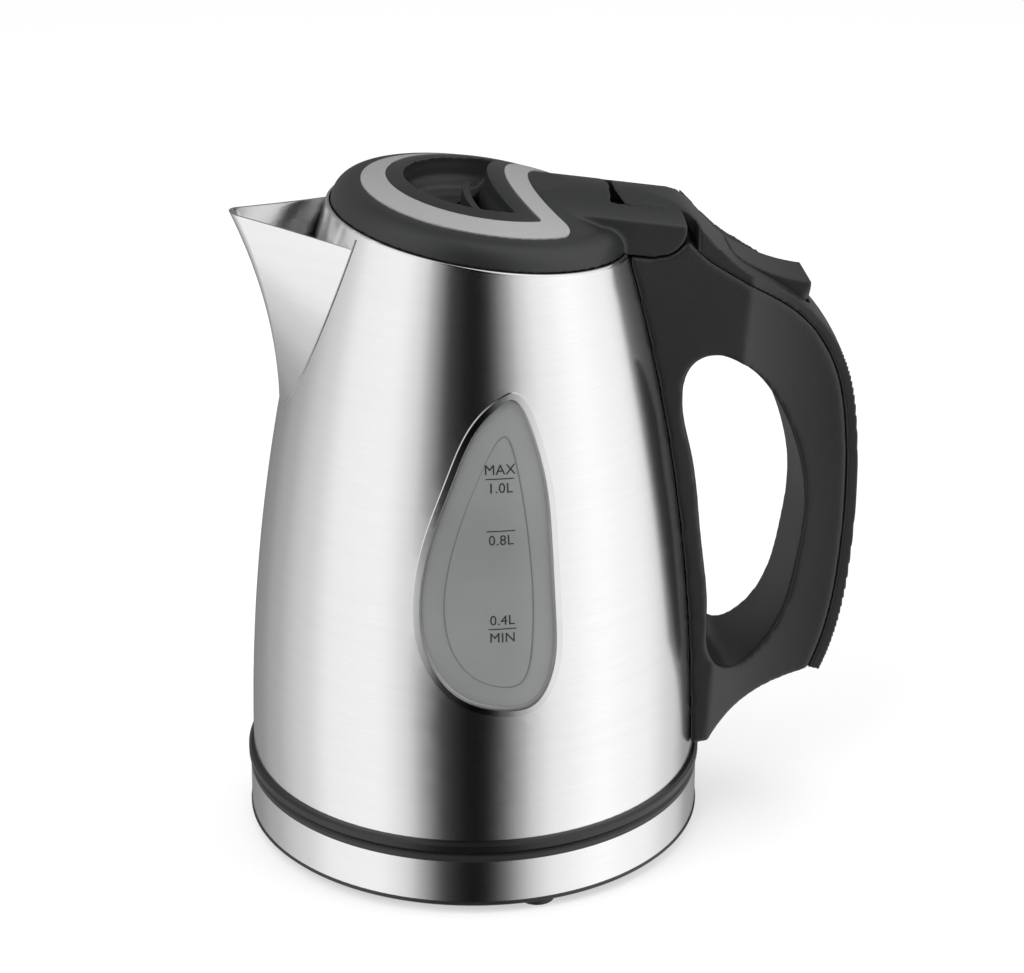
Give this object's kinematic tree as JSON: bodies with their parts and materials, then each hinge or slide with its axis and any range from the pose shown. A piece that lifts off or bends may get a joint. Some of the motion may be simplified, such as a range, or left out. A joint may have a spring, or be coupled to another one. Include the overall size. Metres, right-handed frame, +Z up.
{
  "type": "electric kettle",
  "caption": "Cordless stainless steel electric kettle on a round power base, with a beak spout, level window, hinged latching lid, loop handle and on/off rocker.",
  "frame": {"origin": "on the axis of the base's connector, in the plane that the feet stand on", "axes": "+Z up, spout towards -X, handle towards +X, level window towards -Y"},
  "size_m": [0.1941, 0.1452, 0.2159],
  "materials": {
    "black_abs": "fine moulded texture",
    "black_skirt": "semi gloss",
    "brushed_steel": "fine brushed grain round the body",
    "polished_steel": "polished",
    "satin_silver": "satin silver paint",
    "window_plastic": "smoky translucent grey",
    "rubber": "soft",
    "silicone": "translucent",
    "heater_aluminium": "cast",
    "brass": "bare",
    "white_nylon": "moulded",
    "wire_insulation": "smooth",
    "zinc_steel": "zinc plated"
  },
  "bodies": {
    "power_base": {"base_feet": "rubber", "base_bottom_plate": "black_abs", "base_trim_band": "brushed_steel", "base_cover": "black_abs", "base_screws": "zinc_steel", "cord_gland": "rubber", "base_socket": "black_abs", "socket_contacts": "brass"},
    "turn_ring": {"socket_turn_ring": "white_nylon"},
    "jug": {"body_shell": "brushed_steel", "rim_bead": "polished_steel", "window_bezel": "polished_steel", "window_seal": "silicone", "window_lens": "window_plastic", "spout": "brushed_steel", "spout_filter": "white_nylon", "jug_base_cover": "black_skirt", "jug_base_screws": "zinc_steel", "jug_connector": "white_nylon", "connector_pins": "brass", "control_thermostat": "white_nylon", "bimetal_disc": "zinc_steel", "heating_plate": "polished_steel", "plate_seal": "silicone", "heat_spreader": "heater_aluminium", "heating_element": "heater_aluminium", "neck_collar": "black_abs", "handle_shell": "black_abs", "handle_spine_cover": "black_abs", "switch_unit": "white_nylon", "rocker_pin": "zinc_steel", "steam_tube": "silicone", "leads": "wire_insulation", "hinge_pin": "zinc_steel"},
    "lid": {"lid_cover": "black_abs", "lid_inlay": "satin_silver", "lid_inner_plate": "polished_steel", "lid_seal": "silicone", "latch_springs": "zinc_steel"},
    "latch": {"lid_latch": "black_abs"},
    "rocker": {"switch_rocker": "black_abs"}
  },
  "joints": [
    {"name": "jug_swivel", "type": "hinge", "parent": "power_base", "child": "turn_ring", "pos_m": [0, 0, 0.02], "axis": [0, 0, 1], "continuous": true},
    {"name": "jug_lift", "type": "slide", "parent": "turn_ring", "child": "jug", "axis": [0, 0, 1], "range_m": [0, 0.06]},
    {"name": "lid_hinge", "type": "hinge", "parent": "jug", "child": "lid", "pos_m": [0.055, 0, 0.2007], "axis": [0, 1, 0], "range_deg": [0, 75]},
    {"name": "lid_latch", "type": "slide", "parent": "lid", "child": "latch", "axis": [0.9879, 0, -0.1551], "range_m": [0, 0.003], "stiffness_N_per_m": 150, "springref_m": -0.002, "deforming": ["latch_springs"]},
    {"name": "switch_rocker", "type": "hinge", "parent": "jug", "child": "rocker", "pos_m": [0.087, 0, 0.1782], "axis": [0, 1, 0], "range_deg": [0, 10]}
  ]
}
